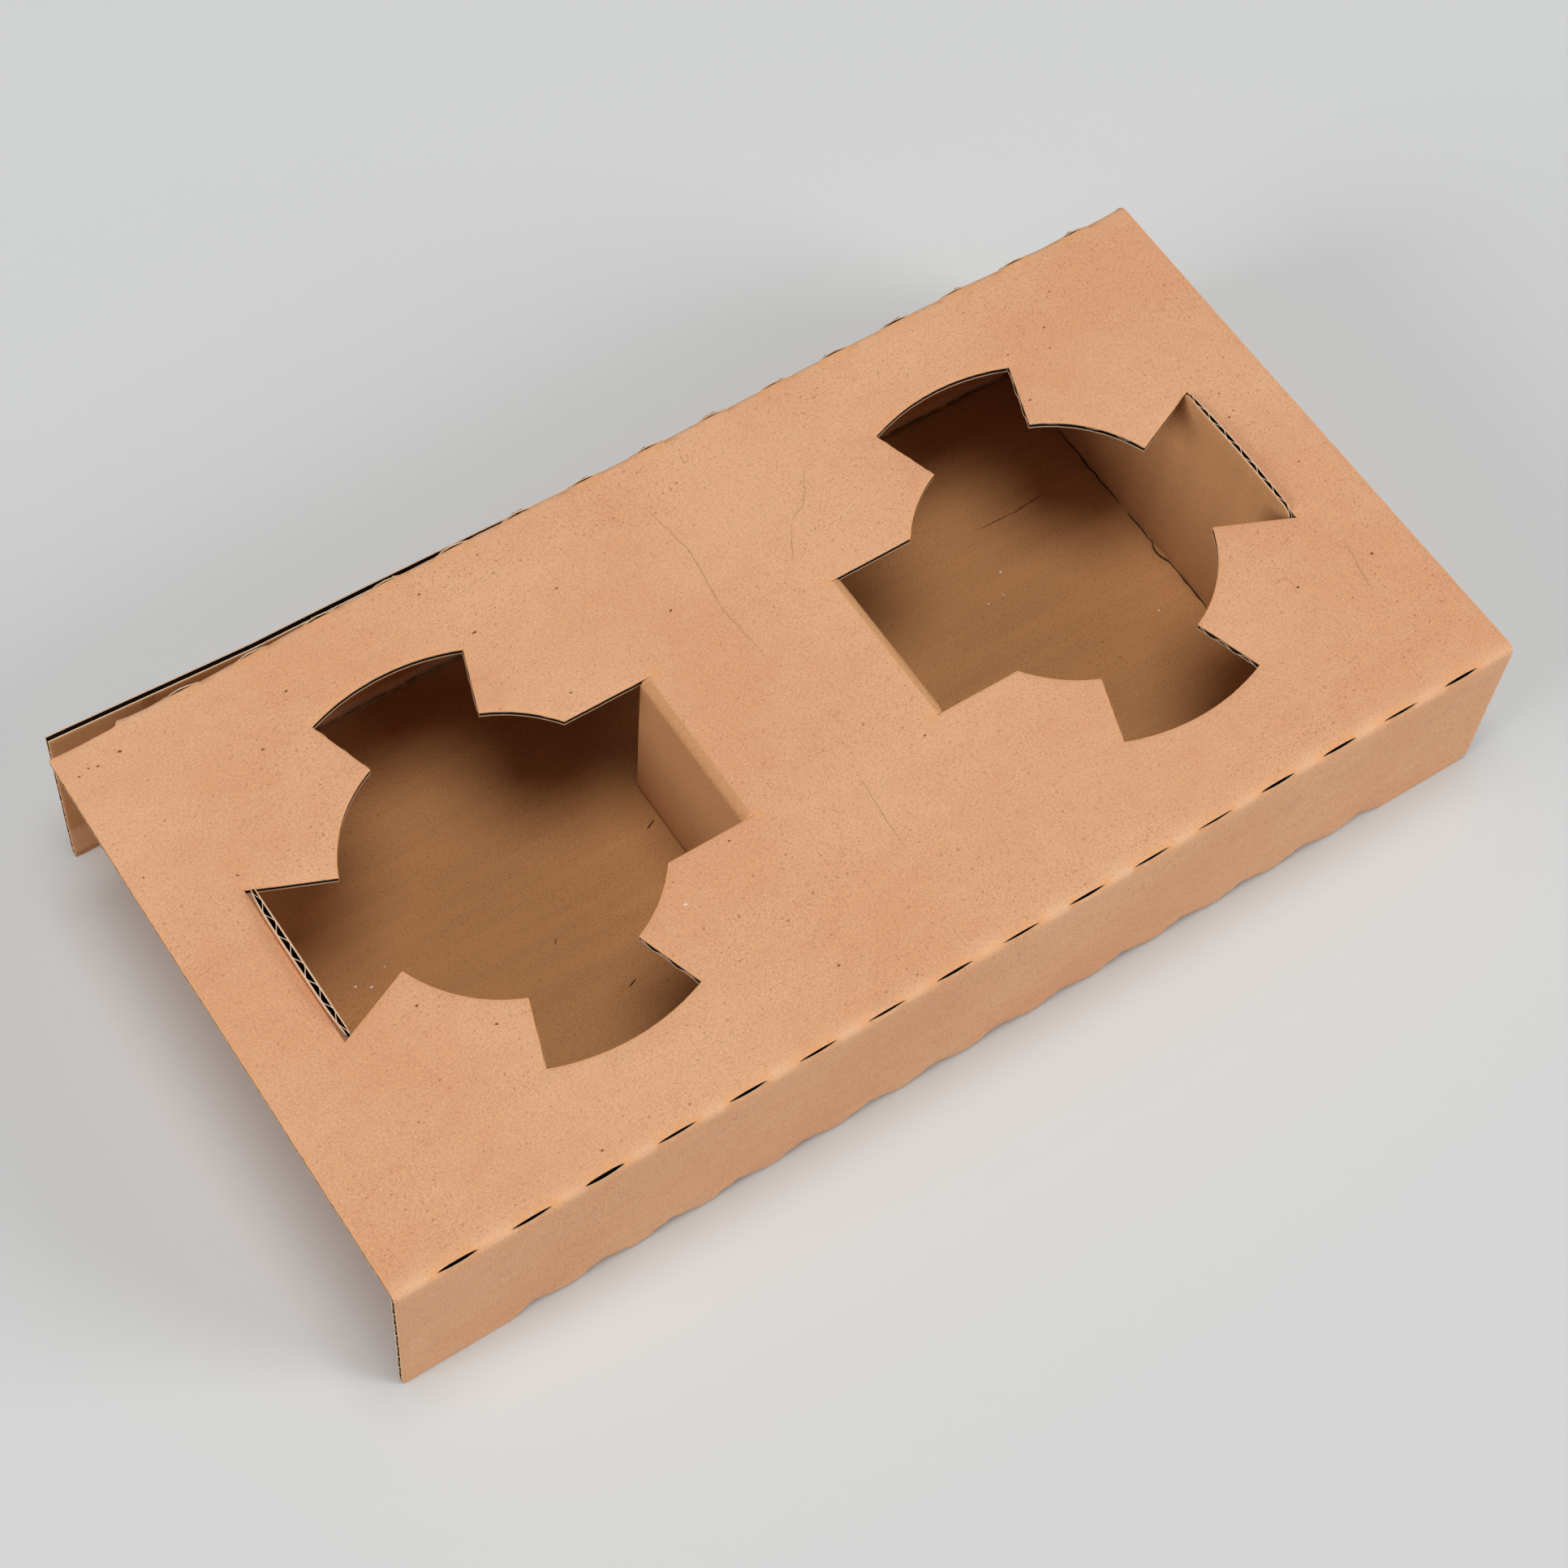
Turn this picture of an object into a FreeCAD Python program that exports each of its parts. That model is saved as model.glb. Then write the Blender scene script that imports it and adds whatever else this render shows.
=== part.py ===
"""Two-cup carrier folded from one die-cut blank of corrugated kraft board.

The blank is a low sleeve: glue flap, top, front wall, floor and back wall in a row,
with perforated folds between them. Each end of the floor folds up into an end wall,
whose tab stands in the outer lobe of the cup cut-out above it. The inner lobe's board
is folded down to the floor. The flutes of the board run along the sleeve, in X.

Millimetres. The origin is on the table, at the middle of the overall box. +X is along
the length, +Y towards the glued back wall, +Z up.
"""
import FreeCAD, Part
import math
import os

V = FreeCAD.Vector

# Sleeve
length = 250.0           # along X, over the raw ends of top and walls
top_depth = 126.9        # along Y, from the front fold to the back fold of the top
height = 41.2            # from the table to the outside of the top

# Board: two flat liners with a wavy medium between them
board = 1.7              # thickness over both liners
liner = 0.25
medium = 0.2
flute_pitch = 5.2
crest_width = 0.7        # flat on each crest of the medium's inside
flank_gap = 0.42         # the medium's thickness measured along the board

# Folds: the board is crushed solid there, and bends about the fold's inside line
crush = 2.2              # from a fold's outside to the first open flute
cut_length = 7.3         # perforation slots of the long folds
cut_pitch = 14.95
cut_opening = 0.5
cut_count = 16

# Glue flap, folded down inside the back wall
glue_gap = 0.3           # between flap and back wall, filled with glue lower down
glue_start = 6.0         # below the outside of the top
flap_clear = 6.5         # from the floor's inside up to the flap's free edge
wall_drop = 4.2          # the back wall's raw edge lies this far below the top
notch_length = 14.5      # at the left end, where flap and fold are cut away
notch_depth = 1.6
notch_radius = 1.5

# Cup cut-outs, one on each side of the middle
seat_offset = 63.95      # from the carrier's middle to the centre of a cut-out
seat_shift = 1.25        # from the top's mid line towards the back
tooth_radius = 30.2      # circle through the four teeth
lobe_radius = 44.6       # arc of the front and back lobes
tooth_angle = 22.8       # half angle of those lobes at the teeth
lobe_angle = 21.5        # half angle of those lobes at their arc
hinge_offset = 41.0      # from the cut-out's centre to the folded inner lobe
hinge_half = 17.9        # half width of the inner lobe
mouth_offset = 43.8      # from the cut-out's centre to the outer lobe's straight edge
mouth_half = 18.0        # half width of the outer lobe at that edge
mouth_angle = 21.8       # half angle of the outer lobe at the teeth

# Folded inner lobe
inner_flap_clear = 0.5   # from its free edge to the floor
inner_flap_side = 0.15   # between its edges and the lobe's

# End walls with tabs
crease_offset = 101.0    # from the middle to the inside of the floor's end crease
tab_clear = 0.15         # between the tab and the outer lobe's straight edge
tab_half = 17.2
tab_rise = 1.0           # above the outside of the top
tab_radius = 5.0
shoulder_clear = 0.5     # between the end wall's shoulders and the top's inside
end_side_clear = 0.6     # between the end wall and the sleeve's walls

# Raw lower corners of the walls at the right end
corner_radius = 3.0

# Places that follow from the sizes above
half_length = length / 2
overall_depth = top_depth + glue_gap + board
front = -overall_depth / 2
back = overall_depth / 2
fold_back = front + top_depth
wall_inside = back - board
seat_y = front + top_depth / 2 + seat_shift
mouth_x = seat_offset + mouth_offset
half_pitch = flute_pitch / 2
cell_base = flute_pitch - crest_width - 2 * flank_gap
reach = 10 * board       # well past any cut board


def line(a, b):
    return Part.LineSegment(a, b).toShape()


def arc(a, middle, b):
    return Part.Arc(a, middle, b).toShape()


def polygon_face(points):
    return Part.Face(Part.makePolygon(points + points[:1]))


def rounded_face(corners):
    """Face of a closed outline. Each corner is (point, radius of its rounding)."""
    starts = []
    ends = []
    middles = []
    for index, (point, radius) in enumerate(corners):
        before = (corners[index - 1][0] - point).normalize()
        after = (corners[(index + 1) % len(corners)][0] - point).normalize()
        half_turn = before.getAngle(after) / 2
        run = radius / math.tan(half_turn)
        bisector = (before + after).normalize()
        starts.append(point + before * run)
        ends.append(point + after * run)
        middles.append(point + bisector * (radius / math.sin(half_turn) - radius))
    edges = []
    for index, (point, radius) in enumerate(corners):
        if radius > 0:
            edges.append(arc(starts[index], middles[index], ends[index]))
        edges.append(line(ends[index], starts[(index + 1) % len(corners)]))
    return Part.Face(Part.Wire(edges))


def flute_cells(start, stop, place, open_end=False):
    """Section of the open flutes in a strip of board, as separate faces.

    place(s, t) puts a point of the strip: s runs along the section, t from the outer
    liner inwards. Cells lie under and over the medium in turn. With open_end the last
    one runs past stop, where the raw edge cuts it open.
    """
    span = stop - start
    count = int((span - cell_base) / half_pitch) + 1
    first = start + cell_base / 2
    if open_end:
        count = math.ceil(span / half_pitch)
    else:
        first += (span - cell_base - (count - 1) * half_pitch) / 2
    cells = []
    for index in range(count):
        centre = first + index * half_pitch
        if index % 2 == 0:
            wide, narrow = liner, board - liner - medium
        else:
            wide, narrow = board - liner, liner + medium
        cells.append(polygon_face([
            place(centre - cell_base / 2, wide),
            place(centre - crest_width / 2, narrow),
            place(centre + crest_width / 2, narrow),
            place(centre + cell_base / 2, wide),
        ]))
    return cells


def sleeve_section(with_floor):
    """Section of the sleeve in YZ: top, walls and glue flap, and the floor if asked."""
    low = board if with_floor else 0
    outline = [
        (V(0, front, 0), low),
        (V(0, front, height), board),
        (V(0, fold_back, height), board),
        (V(0, fold_back, height - glue_start), 0),
        (V(0, wall_inside, height - glue_start), 0),
        (V(0, wall_inside, height - wall_drop), 0),
        (V(0, back, height - wall_drop), 0),
        (V(0, back, 0), low),
    ]
    inside = [
        (V(0, wall_inside, low), 0),
        (V(0, wall_inside, board + flap_clear), 0),
        (V(0, fold_back - board, board + flap_clear), 0),
        (V(0, fold_back - board, height - board), 0),
        (V(0, front + board, height - board), 0),
        (V(0, front + board, low), 0),
    ]
    if with_floor:
        section = rounded_face(outline).cut(rounded_face(inside))
    else:
        section = rounded_face(outline + inside)

    cells = flute_cells(crush, height - crush, lambda s, t: V(0, front + t, s))
    cells += flute_cells(front + crush, fold_back - crush, lambda s, t: V(0, s, height - t))
    cells += flute_cells(crush, height - wall_drop, lambda s, t: V(0, back - t, s), True)
    flap_run = height - board - flap_clear
    cells += flute_cells(crush, flap_run, lambda s, t: V(0, fold_back - t, height - s), True)
    if with_floor:
        cells += flute_cells(front + crush, back - crush, lambda s, t: V(0, s, t))
    return section.cut(Part.makeCompound(cells))


def extrude_x(face, start, stop):
    moved = face.copy()
    moved.translate(V(start, 0, 0))
    return moved.extrude(V(stop - start, 0, 0))


def seat_cutter():
    """Cut-out of one cup seat, with +X towards the carrier's middle."""
    def polar(radius, degrees):
        turn = math.radians(degrees)
        return V(radius * math.cos(turn), radius * math.sin(turn), 0)

    def mirrored(point):
        return V(point.x, -point.y, 0)

    hinge_end = V(hinge_offset, hinge_half, 0)
    hinge_angle = math.degrees(math.asin(hinge_half / tooth_radius))
    hinge_root = polar(tooth_radius, hinge_angle)
    inner_root = polar(tooth_radius, 90 - tooth_angle)
    inner_end = polar(lobe_radius, 90 - lobe_angle)
    outer_end = polar(lobe_radius, 90 + lobe_angle)
    outer_root = polar(tooth_radius, 90 + tooth_angle)
    mouth_root = polar(tooth_radius, 180 - mouth_angle)
    mouth_end = V(-mouth_offset, mouth_half, 0)
    inner_tooth = polar(tooth_radius, (hinge_angle + 90 - tooth_angle) / 2)
    outer_tooth = polar(tooth_radius, (270 + tooth_angle - mouth_angle) / 2)

    upper = [
        line(hinge_end, hinge_root),
        arc(hinge_root, inner_tooth, inner_root),
        line(inner_root, inner_end),
        arc(inner_end, V(0, lobe_radius, 0), outer_end),
        line(outer_end, outer_root),
        arc(outer_root, outer_tooth, mouth_root),
        line(mouth_root, mouth_end),
    ]
    lower = [
        line(mirrored(mouth_root), mirrored(mouth_end)),
        arc(mirrored(outer_root), mirrored(outer_tooth), mirrored(mouth_root)),
        line(mirrored(outer_end), mirrored(outer_root)),
        arc(mirrored(inner_end), V(0, -lobe_radius, 0), mirrored(outer_end)),
        line(mirrored(inner_root), mirrored(inner_end)),
        arc(mirrored(hinge_root), mirrored(inner_tooth), mirrored(inner_root)),
        line(mirrored(hinge_end), mirrored(hinge_root)),
    ]
    hinge = line(hinge_end, mirrored(hinge_end))
    mouth = line(mouth_end, mirrored(mouth_end))
    outline = Part.Wire(Part.__sortEdges__(upper + [mouth] + lower + [hinge]))
    cutter = Part.Face(outline).extrude(V(0, 0, reach))
    cutter.translate(V(-seat_offset, seat_y, height - reach / 2))
    return cutter


def bent_strip(x, z, turn, flat_run, rise_run, low, high):
    """Crushed board round a crease that lies across the flutes, in XZ, extruded in Y.

    x, z is the crease's inside line. The flat part leaves it towards -X and the risen
    part at turn degrees from it, with the board below and to the right of the line.
    """
    lean = math.radians(turn - 90)
    along = V(math.sin(lean), 0, math.cos(lean))
    out = V(math.cos(lean), 0, -math.sin(lean))
    middle_angle = -(math.pi / 2 + lean) / 2
    inside = V(x, low, z)
    below = inside - V(0, 0, board)
    beside = inside + out * board
    bend = V(math.cos(middle_angle), 0, math.sin(middle_angle))
    edges = [
        line(below - V(flat_run, 0, 0), below),
        arc(below, inside + bend * board, beside),
        line(beside, beside + along * rise_run),
        line(beside + along * rise_run, inside + along * rise_run),
        line(inside + along * rise_run, inside),
        line(inside, inside - V(flat_run, 0, 0)),
        line(inside - V(flat_run, 0, 0), below - V(flat_run, 0, 0)),
    ]
    return Part.Face(Part.Wire(edges)).extrude(V(0, high - low, 0))


def inner_flap():
    """The left seat's inner lobe, folded down at its hinge, with the crushed hinge."""
    low = seat_y - hinge_half + inner_flap_side
    high = seat_y + hinge_half - inner_flap_side
    face_x = -seat_offset + hinge_offset
    bottom = board + inner_flap_clear
    sheet = Part.makeBox(board, high - low, height - crush - bottom, V(face_x, low, bottom))
    cells = flute_cells(low + liner, high - liner, lambda s, t: V(face_x + t, s, bottom))
    flutes = [cell.extrude(V(0, 0, height - crush - bottom)) for cell in cells]
    sheet = sheet.cut(Part.makeCompound(flutes))
    hinge = bent_strip(0, 0, 90, crush - board, crush - board, low, high)
    hinge.rotate(V(0, 0, 0), V(0, 1, 0), 180)
    hinge.translate(V(face_x + board, 0, height - board))
    return [sheet, hinge]


def end_wall():
    """The left end wall with its tab, leaning outwards from the floor's crease."""
    rise = height - board
    lean = math.atan((mouth_x - tab_clear - board - crease_offset) / rise)
    degrees = math.degrees(lean)
    low = front + board + end_side_clear
    high = wall_inside - end_side_clear
    shoulder = (rise - board - shoulder_clear) / math.cos(lean) - board * math.tan(lean)
    tab_top = (rise + tab_rise) / math.cos(lean)
    foot = crush - board
    outline = rounded_face([
        (V(0, low, foot), 0),
        (V(0, high, foot), 0),
        (V(0, high, shoulder), 0),
        (V(0, seat_y + tab_half, shoulder), 0),
        (V(0, seat_y + tab_half, tab_top), tab_radius),
        (V(0, seat_y - tab_half, tab_top), tab_radius),
        (V(0, seat_y - tab_half, shoulder), 0),
        (V(0, low, shoulder), 0),
    ])
    sheet = outline.extrude(V(board, 0, 0))
    cells = flute_cells(low + liner, high - liner, lambda s, t: V(board - t, s, foot))
    flutes = [cell.extrude(V(0, 0, tab_top)) for cell in cells]
    sheet = sheet.cut(Part.makeCompound(flutes))
    sheet.rotate(V(0, 0, 0), V(0, 1, 0), degrees)
    sheet.translate(V(crease_offset, 0, board))
    crease = bent_strip(crease_offset, board, 90 + degrees, crush - board, foot, low, high)
    return [sheet.mirror(V(0, 0, 0), V(1, 0, 0)), crease.mirror(V(0, 0, 0), V(1, 0, 0))]


def fold_cuts(y, z, turn, low, high):
    """Perforation slots of one long fold between low and high in X.

    The fold's outer corner is at y, z, and turn degrees about X take +Z to the
    direction inwards.
    """
    slot = Part.makeBox(cut_length, cut_opening, 3 * board,
                        V(-cut_length / 2, -cut_opening / 2, -board))
    slot.rotate(V(0, 0, 0), V(1, 0, 0), turn)
    cuts = []
    for index in range(cut_count):
        x = (index - (cut_count - 1) / 2) * cut_pitch
        if x - cut_length / 2 < low or x + cut_length / 2 > high:
            continue
        cut = slot.copy()
        cut.translate(V(x, y, z))
        cuts.append(cut)
    return cuts


def notch_cutters():
    """Left end of the back fold: fold and glue flap are cut away behind the wall."""
    edge = fold_back - notch_depth
    stop = notch_length - half_length
    outline = rounded_face([
        (V(-half_length - reach, edge, 0), 0),
        (V(stop, edge, 0), notch_radius),
        (V(stop, wall_inside, 0), 0),
        (V(-half_length - reach, wall_inside, 0), 0),
    ])
    in_top = outline.extrude(V(0, 0, reach))
    in_top.translate(V(0, 0, height - board))
    run = notch_length + reach
    in_flap = Part.makeBox(run, wall_inside - edge, height - 2 * board, V(stop - run, edge, board))
    return [in_top, in_flap]


def corner_cutter(y):
    """Rounds the raw lower corner of a wall at the right end."""
    x = half_length
    r = corner_radius
    start = V(x - r, y, 0)
    middle = V(x - r + r * math.sin(math.pi / 4), y, r - r * math.cos(math.pi / 4))
    stop = V(x, y, r)
    edges = [arc(start, middle, stop), line(stop, V(x, y, 0)), line(V(x, y, 0), start)]
    cutter = Part.Face(Part.Wire(edges)).extrude(V(0, board, 0))
    return cutter


def carrier():
    floor_end = crease_offset - (crush - board)
    body = extrude_x(sleeve_section(True), -floor_end, floor_end)
    ends = sleeve_section(False)
    body = body.fuse([
        extrude_x(ends, -half_length, -floor_end),
        extrude_x(ends, floor_end, half_length),
    ])

    seat = seat_cutter()
    cutters = [seat, seat.mirror(V(0, 0, 0), V(1, 0, 0))] + notch_cutters()
    cutters += [corner_cutter(front), corner_cutter(wall_inside)]
    cutters += fold_cuts(front, height, 225, -half_length, half_length)
    cutters += fold_cuts(fold_back, height, 135, notch_length - half_length, half_length)
    cutters += fold_cuts(front, 0, -45, -floor_end, floor_end)
    cutters += fold_cuts(back, 0, 45, -floor_end, floor_end)
    body = body.cut(Part.makeCompound(cutters))

    left = inner_flap() + end_wall()
    right = [piece.mirror(V(0, 0, 0), V(1, 0, 0)) for piece in left]
    return body.fuse(left + right).removeSplitter()


os.makedirs("parts", exist_ok=True)
shape = carrier()
if len(shape.Solids) != 1:
    raise RuntimeError("the carrier is in %d solids" % len(shape.Solids))
shape.Solids[0].exportStep("parts/carrier.step")
print("faces", len(shape.Faces), "volume", round(shape.Volume, 1), shape.BoundBox)
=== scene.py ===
"""Two-cup carrier folded from fine corrugated kraft board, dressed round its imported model.

The board is drawn flat, as the die cuts it, and then folded. Flat places are (x, s): x runs
along the carrier and its flutes, s round the sleeve from the glue flap's free edge over the
top, the front wall and the floor to the back wall's raw edge. A third number, depth, goes
from the board's outside (0) inwards. All working sizes are millimetres.
"""
import math

import bpy
import numpy as np
from bpy.props import FloatProperty, FloatVectorProperty, IntProperty, PointerProperty
from mathutils import Matrix, Vector, noise
from mathutils.geometry import delaunay_2d_cdt
from mathutils.kdtree import KDTree


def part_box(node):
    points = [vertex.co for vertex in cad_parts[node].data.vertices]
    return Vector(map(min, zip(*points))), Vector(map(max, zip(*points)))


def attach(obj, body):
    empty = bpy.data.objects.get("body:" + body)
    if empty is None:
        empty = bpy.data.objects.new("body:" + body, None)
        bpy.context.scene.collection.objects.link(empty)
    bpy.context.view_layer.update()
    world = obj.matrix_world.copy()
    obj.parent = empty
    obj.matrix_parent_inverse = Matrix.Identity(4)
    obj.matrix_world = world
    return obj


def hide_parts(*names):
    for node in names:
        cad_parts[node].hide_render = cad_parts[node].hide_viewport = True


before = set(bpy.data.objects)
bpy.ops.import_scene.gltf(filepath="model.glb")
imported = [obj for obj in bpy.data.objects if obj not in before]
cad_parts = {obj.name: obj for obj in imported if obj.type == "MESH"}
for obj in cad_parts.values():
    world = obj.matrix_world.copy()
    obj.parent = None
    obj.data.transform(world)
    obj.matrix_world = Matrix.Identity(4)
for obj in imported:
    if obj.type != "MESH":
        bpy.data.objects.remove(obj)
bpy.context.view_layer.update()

bl_info = {
    "name": "Corrugated cup carrier",
    "version": (1, 0, 0),
    "blender": (4, 5, 0),
    "location": "3D View > Sidebar > Carrier",
    "description": "Folded corrugated board carrier for two cups",
    "category": "Add Mesh",
}

NODE = "carrier"
MM = 0.001
LOW, HIGH = (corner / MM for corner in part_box(NODE))


def size(name, description, millimetres):
    return FloatProperty(name=name, description=description, default=millimetres * MM,
                         unit="LENGTH", subtype="DISTANCE", precision=5)


def angle(name, description, degrees):
    return FloatProperty(name=name, description=description, default=math.radians(degrees),
                         unit="ROTATION", subtype="ANGLE")


def colour(name, description, rgb):
    return FloatVectorProperty(name=name, description=description, default=rgb,
                               size=3, min=0.0, max=1.0, subtype="COLOR")


def watts(name, power):
    return FloatProperty(name=name, description="Power in watts", default=power, min=0.0,
                         unit="POWER")


class BoardSettings(bpy.types.PropertyGroup):
    length: size("Length", "Over the raw ends of the sleeve", HIGH.x - LOW.x)
    front: size("Front", "Outside of the front wall", LOW.y)
    back: size("Back", "Outside of the back wall", HIGH.y)
    height: size("Height", "From the table to the outside of the top", 41.2)
    board: size("Board", "Thickness over both liners", 1.7)
    liner: size("Liner", "Thickness of each flat liner", 0.25)
    medium: size("Medium", "Thickness of the wavy medium", 0.13)
    flute_pitch: size("Flute pitch", "From crest to crest of the medium", 5.2)
    fold_run: size("Fold run", "Flat board taken up by each fold", 2.0)
    glue_gap: size("Glue gap", "Between glue flap and back wall", 0.3)
    flap_clear: size("Flap clearance", "From the floor up to the glue flap's free edge", 6.5)
    wall_drop: size("Wall drop", "Back wall's raw edge below the top", 4.2)
    wall_short: size("Wall short", "Back wall's corner inside the left end", 2.4)
    notch_length: size("Notch length", "Back fold cut away at the left end", 14.5)
    corner_radius: size("Corner radius", "Raw lower corners at the right end", 3.0)


class CutSettings(bpy.types.PropertyGroup):
    slot_length: size("Slot length", "Perforation slots of the long folds", 8.2)
    slot_pitch: size("Slot pitch", "From slot to slot", 14.95)
    slot_opening: size("Slot opening", "Width of a slot at its middle, on the flat", 0.58)
    slot_count: IntProperty(name="Slots", description="Slots in each fold", default=16, min=1)
    seat_offset: size("Seat offset", "Middle of the carrier to the centre of a seat", 63.95)
    seat_y: size("Seat shift", "Centre of the seats, from the carrier's middle", 0.25)
    tooth_radius: size("Tooth radius", "Circle through the four teeth", 30.2)
    lobe_radius: size("Lobe radius", "Arc of the front and back lobes", 44.6)
    tooth_angle: angle("Tooth angle", "Half angle of those lobes at the teeth", 22.8)
    lobe_angle: angle("Lobe angle", "Half angle of those lobes at their arc", 21.5)
    hinge_offset: size("Hinge offset", "Seat centre to the folded inner lobe", 41.0)
    hinge_half: size("Hinge half width", "Half width of the inner lobe", 17.9)
    mouth_offset: size("Mouth offset", "Seat centre to the outer lobe's edge", 43.8)
    mouth_half: size("Mouth half width", "Half width of the outer lobe there", 18.0)
    mouth_angle: angle("Mouth angle", "Half angle of the outer lobe at the teeth", 21.8)
    flap_half: size("Flap half width", "Half width of the folded inner lobe", 17.75)
    lobe_clear: size("Lobe clearance", "From the folded lobe's edge to the floor", 0.5)
    crease_offset: size("Crease offset", "Middle to the floor's end crease", 101.0)
    side_clear: size("Side clearance", "Between end wall and sleeve", 0.6)
    shoulder: size("Shoulder", "End wall's height at its shoulders, on the flat", 37.4)
    tab_half: size("Tab half width", "Half width of the tab", 17.5)
    tab_top: size("Tab top", "End wall's height at the tab's corners, on the flat", 40.6)
    tab_arch: size("Tab arch", "Rise of the tab's middle over its corners", 1.0)
    tab_radius: size("Tab radius", "Front corner of the tab", 3.2)
    tab_back_radius: size("Tab back radius", "Back corner of the tab", 1.2)
    end_lean: angle("End lean", "End walls lean outwards", 7.07)


class FinishSettings(bpy.types.PropertyGroup):
    kraft: colour("Kraft", "Face of the liners", (0.705, 0.382, 0.209))
    cloud: colour("Cloud", "Redder patches of the liners", (0.665, 0.332, 0.175))
    fibre: colour("Fibre", "Brown fibres and specks", (0.260, 0.085, 0.028))
    # The inner liner is a browner paper, and this colour is darkened further as painted shade of
    # the sleeve's inside; the shaded lobes blend towards it.
    inside: colour("Inside", "Inner liner and shaded board", (0.510, 0.240, 0.090))
    inside_cloud: colour("Inside cloud", "Redder patches of the inner liner",
                         (0.470, 0.212, 0.080))
    # This tone also serves for painted light on the inner walls and a painted highlight along the
    # lobes' hinges.
    worn_and_painted_light: colour("Worn", "Rubbed board along the folds", (0.790, 0.490, 0.290))
    # Painted glow: light through the thin board beside a cut.
    edge: colour("Edge", "Thin board beside a cut", (0.740, 0.340, 0.130))
    cut: colour("Cut", "Raw cut of a liner", (0.860, 0.690, 0.500))
    roughness: FloatProperty(name="Roughness", description="Roughness of the paper",
                             default=0.82, min=0.0, max=1.0)


class StageSettings(bpy.types.PropertyGroup):
    table: colour("Table", "Pale floor", (0.620, 0.632, 0.629))
    sky: FloatProperty(name="Sky", description="Strength of the even light", default=0.15, min=0.0)
    backdrop: FloatProperty(name="Backdrop", description="Strength of the background that is seen",
                            default=0.66, min=0.0, max=1.0)
    overhead: watts("Overhead lamp", 106.0)
    front_fill: watts("Low lamp at the front right", 116.0)
    left_fill: watts("Low lamp at the left", 103.0)


# Cut edges, in millimetres
CUT_STRAY = 0.05  # unevenness of the die's cut
EDGE_PRESS = 0.14  # how deep the cut presses the liners
EDGE_WIDTH = 0.45  # and how far in from the edge
MEDIUM_RECEDES = 0.7  # medium short of the seats' edges
MEDIUM_ENDS_BELOW = 2.0  # medium below the back wall's raw edge
# Painted shade inside the board, behind its raw cut edges:
DARK_FROM = 0.17  # inside of the board is dark from here inwards
DARK_SHADE = 0.03  # share of its colour that is left there

# Share of the board's thickness that is crushed out of each tab, at its middle and at its corners
LEFT_TAB_CRUSHED = (0.0, 0.45)
RIGHT_TAB_CRUSHED = (0.10, 0.50)

# How far the back wall's raw edge stands off, and how far the back fold bulges out over it:
# places along the carrier, and millimetres there
WALL_STANDS_OFF = ((-125, -106, -80, -55, -30, 0, 60), (4.0, 3.25, 2.0, 1.85, 1.5, 0.8, 0.0))
FOLD_BULGES = ((-88, -60, -30, 0, 50, 125), (0.0, 0.8, 1.2, 1.4, 1.6, 1.8))


# Marks of use on the flat places, and painted shade along the torn end crease, in millimetres along
# and across the carrier: specks have a radius, lines a width, and all lie a little off the board
MARK_LIFT = 0.04
TOP_SPECKS = (
    (115.0, -32.4, 0.38), (-24.9, -51.8, 0.34), (16.2, -20.2, 0.30), (-48.5, 56.1, 0.32),
    (-9.3, 28.4, 0.36), (-113.1, 55.7, 0.40), (-117.9, 55.0, 0.30), (-119.6, 55.4, 0.26),
    (-121.9, 54.8, 0.26), (-121.8, 30.0, 0.24), (-107.2, 21.5, 0.26), (-113.0, 38.4, 0.22),
    (-43.8, 43.8, 0.42), (-80.6, 51.0, 0.36), (-90.4, 42.2, 0.34), (-25.3, 44.2, 0.34),
    (-35.3, 22.8, 0.26), (92.2, 46.2, 0.28), (90.2, 41.4, 0.24), (79.1, 32.8, 0.26),
    (81.8, 44.3, 0.24), (111.1, 8.6, 0.30), (116.4, -7.3, 0.26), (-83.2, -29.1, 0.30),
    (-93.4, -18.4, 0.34), (-27.7, -19.8, 0.28), (-80.4, -59.8, 0.30), (97.6, -31.0, 0.34))
TOP_DUST = ((-41.6, -26.6, 0.30),)
TOP_SCRATCHES = (
    (((-0.9, 52.4), (1.2, 38.0), (-0.6, 24.0), (0.4, 9.9)), 0.16),
    (((0.5, -21.7), (-0.9, -37.1)), 0.14),
    (((31.5, 43.5), (26.5, 36.0), (22.0, 33.5)), 0.15), (((21.5, 33.2), (17.0, 25.5)), 0.13),
    (((93.5, -28.5), (96.0, -27.8), (97.5, -29.2)), 0.20), (((91.5, -27.6), (92.5, -28.9)), 0.18),
    (((112.5, -27.0), (109.5, -39.0)), 0.16))
FLOOR_DUST = ((69.0, 21.4, 0.26), (66.2, 16.5, 0.24), (62.3, 16.3, 0.24), (91.7, -3.6, 0.22),
              (-92.5, 8.8, 0.34), (-89.9, 7.1, 0.30), (-85.6, 9.6, 0.18), (-82.0, 3.1, 0.16))
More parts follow.
